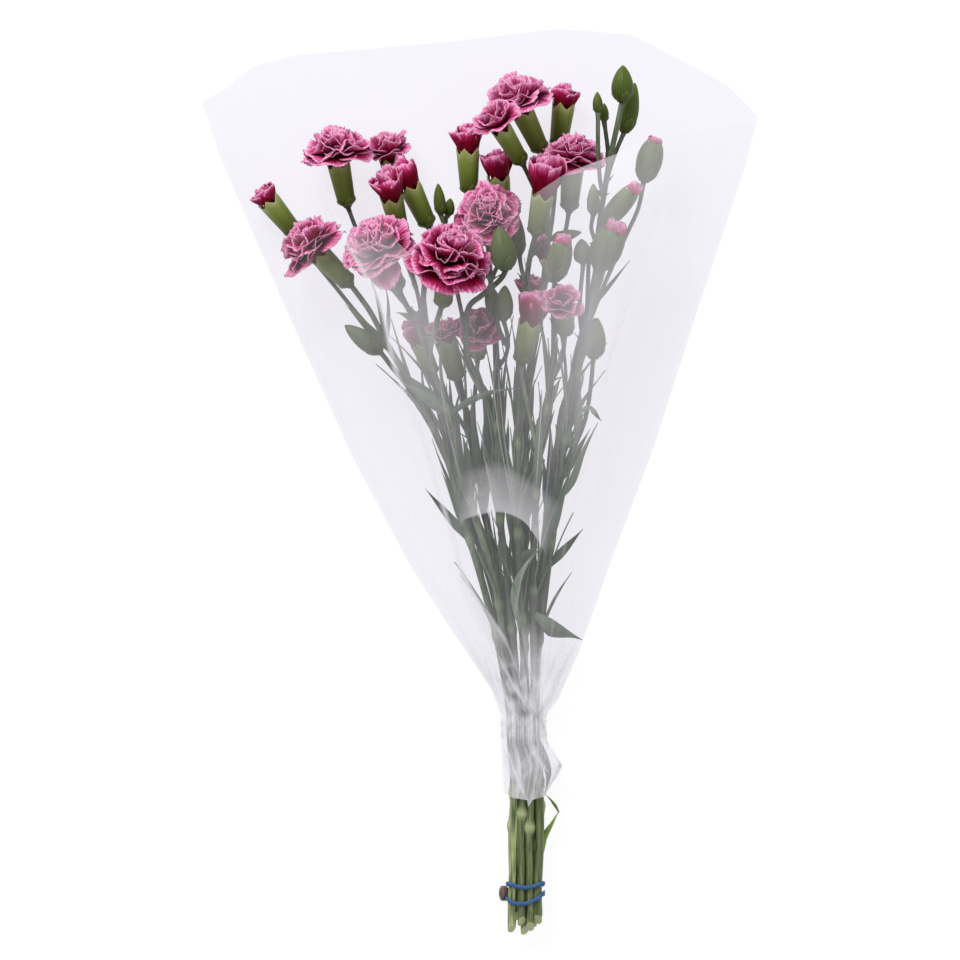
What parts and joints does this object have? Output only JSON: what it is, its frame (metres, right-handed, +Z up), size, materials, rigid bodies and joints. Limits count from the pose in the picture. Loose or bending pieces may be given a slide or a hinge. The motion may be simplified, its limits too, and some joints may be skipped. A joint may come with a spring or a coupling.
{
  "type": "carnation bouquet",
  "caption": "Bunch of cut spray carnations with open blooms and buds, in a clear cone sleeve taped at the waist, with a rubber band round the bare stems, lying on its flat back.",
  "frame": {"origin": "on the surface the bunch lies on, under the middle of its bounding box", "axes": "+X to the bunch's right seen from above, +Y from the cut stems to the blooms, +Z up from the surface"},
  "size_m": [0.315, 0.509, 0.0957],
  "materials": {
    "stem": "satin, waxy",
    "petal": "matte, velvety",
    "film": "clear gloss plastic film",
    "tape": "clear gloss",
    "band": "matte",
    "dry_leaf": "dry, matte"
  },
  "bodies": {
    "root": {"bloom_left_front": "petal", "bloom_far_left": "petal", "bloom_upper_left_back": "petal", "bloom_upper_left_front": "petal", "bloom_top_left": "petal", "bloom_top_left_small": "petal", "bloom_front": "petal", "bloom_front_left": "petal", "bloom_middle": "petal", "bloom_middle_left": "petal", "bloom_middle_right": "petal", "bloom_top": "petal", "bloom_top_front": "petal", "bloom_top_right": "petal", "bloom_right": "petal", "bloom_right_front": "petal", "bloom_low_right_front": "petal", "bloom_low_right": "petal", "bloom_low_right_small": "petal", "bloom_low_back": "petal", "bloom_low_middle": "petal", "bloom_low_left": "petal", "bloom_low_front": "petal", "bud_tip_right": "petal", "bud_tip_far_right": "petal", "bud_tip_high_right": "petal", "bud_tip_low_right": "petal", "spray_left": "stem", "spray_upper_left": "stem", "spray_front_left": "stem", "spray_front_middle": "stem", "spray_middle": "stem", "spray_top": "stem", "spray_right_buds": "stem", "spray_right": "stem", "spray_low_right": "stem", "spray_inner_right": "stem", "spray_low_left": "stem", "sleeve": "film", "sleeve_tape": "tape", "rubber_band": "band", "dried_leaf_base": "dry_leaf"}
  },
  "joints": []
}
